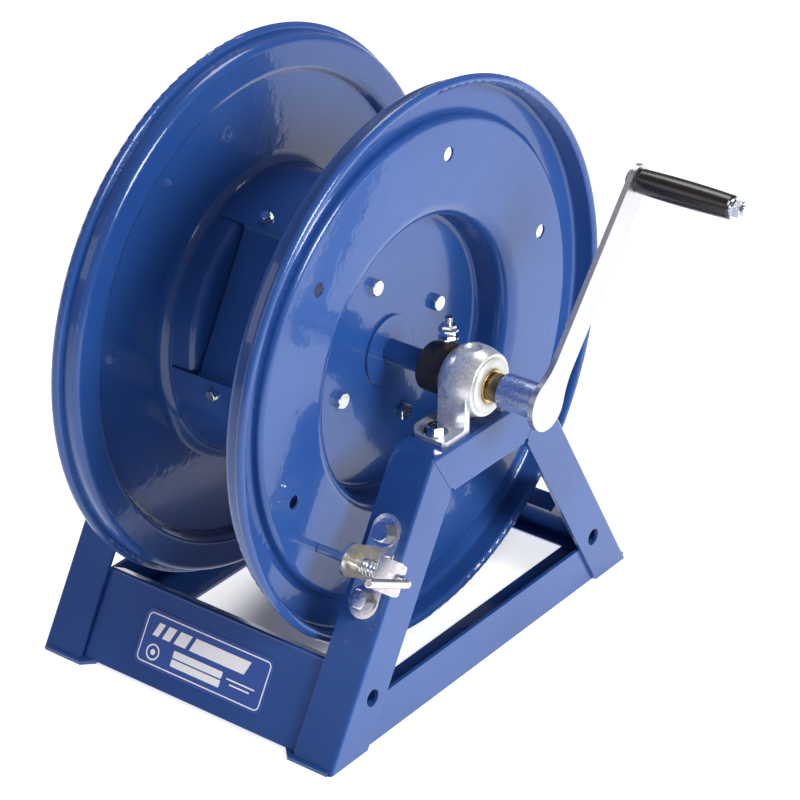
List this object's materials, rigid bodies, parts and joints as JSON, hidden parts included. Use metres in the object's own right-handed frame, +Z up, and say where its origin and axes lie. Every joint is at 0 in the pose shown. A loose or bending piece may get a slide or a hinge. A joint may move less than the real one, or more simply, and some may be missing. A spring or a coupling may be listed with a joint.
{
  "type": "hand-crank cable reel",
  "caption": "Hand-crank reel for a welding lead: dished discs and drum on an axle in an A-shaped steel frame, with crank, disc lock and rotating current collector.",
  "frame": {"origin": "on the floor under the axle, midway between the reel's two discs", "axes": "+X along the axle towards the crank, -Y towards the lock and label side, +Z up"},
  "size_m": [0.4597, 0.4572, 0.4778],
  "materials": {
    "blue_paint": "gloss",
    "label": "gloss",
    "cast_housing": "zinc plated cast",
    "bearing_steel": "ground",
    "brass": "satin",
    "shield": "satin",
    "zinc_fasteners": "zinc plated",
    "zinc_lock": "zinc plated",
    "bright_steel": "bright plated",
    "black_rubber": "matte",
    "black_plastic": "semi-gloss"
  },
  "bodies": {
    "frame": {"right_side_frame": "blue_paint", "left_side_frame": "blue_paint", "right_base_rail": "blue_paint", "left_base_rail": "blue_paint", "front_panel": "blue_paint", "rear_panel": "blue_paint", "label_plate": "label", "right_bearing_housing": "cast_housing", "left_bearing_housing": "cast_housing", "right_outer_race": "bearing_steel", "left_outer_race": "bearing_steel", "bearing_shields": "shield", "housing_bolts": "zinc_fasteners", "housing_washers": "zinc_fasteners", "housing_nuts": "zinc_fasteners", "lock_base_plate": "zinc_lock", "lock_bracket": "zinc_lock", "lock_bolts": "zinc_fasteners", "lock_washers": "zinc_fasteners", "lock_nuts": "zinc_fasteners", "lock_spring": "zinc_lock"},
    "reel": {"axle": "blue_paint", "right_axle_flange": "blue_paint", "left_axle_flange": "blue_paint", "right_hub_plate": "blue_paint", "left_hub_plate": "blue_paint", "right_disc": "blue_paint", "left_disc": "blue_paint", "drum_shell": "blue_paint", "drum_recess_plate": "blue_paint", "drum_screws": "zinc_fasteners", "drum_terminal": "zinc_fasteners", "disc_bolts": "zinc_fasteners", "disc_nuts": "zinc_fasteners", "right_inner_race": "bearing_steel", "left_inner_race": "bearing_steel", "crank_spacer": "brass", "left_set_collar": "bright_steel", "slip_ring": "brass", "crank_hub": "bright_steel", "crank_set_screw": "zinc_fasteners", "crank_arm": "bright_steel", "grip_bolt": "zinc_fasteners", "grip_nut": "zinc_fasteners", "grip_washers": "zinc_fasteners"},
    "grip": {"grip": "black_plastic"},
    "lock_carrier": {"lock_washer": "zinc_lock"},
    "lock_pin": {"lock_pin": "zinc_lock", "lock_cross_pin": "zinc_lock"},
    "collector": {"collector_body": "black_rubber", "contact_ring": "brass", "collector_stud": "zinc_fasteners", "collector_nuts": "zinc_fasteners", "collector_washers": "zinc_fasteners"},
    "right_ball_set": {"right_cage": "brass", "right_balls": "bearing_steel"},
    "left_ball_set": {"left_cage": "brass", "left_balls": "bearing_steel"}
  },
  "joints": [
    {"name": "reel_spin", "type": "hinge", "parent": "frame", "child": "reel", "pos_m": [0, 0, 0.2492], "axis": [1, 0, 0], "continuous": true},
    {"name": "grip_spin", "type": "hinge", "parent": "reel", "child": "grip", "pos_m": [0.2427, 0.11629, 0.39179], "axis": [1, 0, 0], "continuous": true},
    {"name": "lock_pin_slide", "type": "slide", "parent": "frame", "child": "lock_carrier", "axis": [1, 0, 0], "range_m": [0, 0.004], "stiffness_N_per_m": 500, "springref_m": -0.012, "deforming": ["lock_spring"]},
    {"name": "lock_pin_turn", "type": "hinge", "parent": "lock_carrier", "child": "lock_pin", "pos_m": [0.127, -0.12944, 0.14406], "axis": [1, 0, 0], "continuous": true},
    {"name": "collector_swivel", "type": "hinge", "parent": "frame", "child": "collector", "pos_m": [0.101, 0, 0.2492], "axis": [1, 0, 0], "range_deg": [-90, 90]},
    {"name": "right_ball_set_spin", "type": "hinge", "parent": "frame", "child": "right_ball_set", "pos_m": [0.1405, 0, 0.2492], "axis": [1, 0, 0], "continuous": true},
    {"name": "left_ball_set_spin", "type": "hinge", "parent": "frame", "child": "left_ball_set", "pos_m": [-0.1405, 0, 0.2492], "axis": [1, 0, 0], "continuous": true}
  ],
  "couplings": [
    {"joint": "right_ball_set_spin", "follows": "reel_spin", "ratio": 0.395},
    {"joint": "left_ball_set_spin", "follows": "reel_spin", "ratio": 0.395}
  ]
}
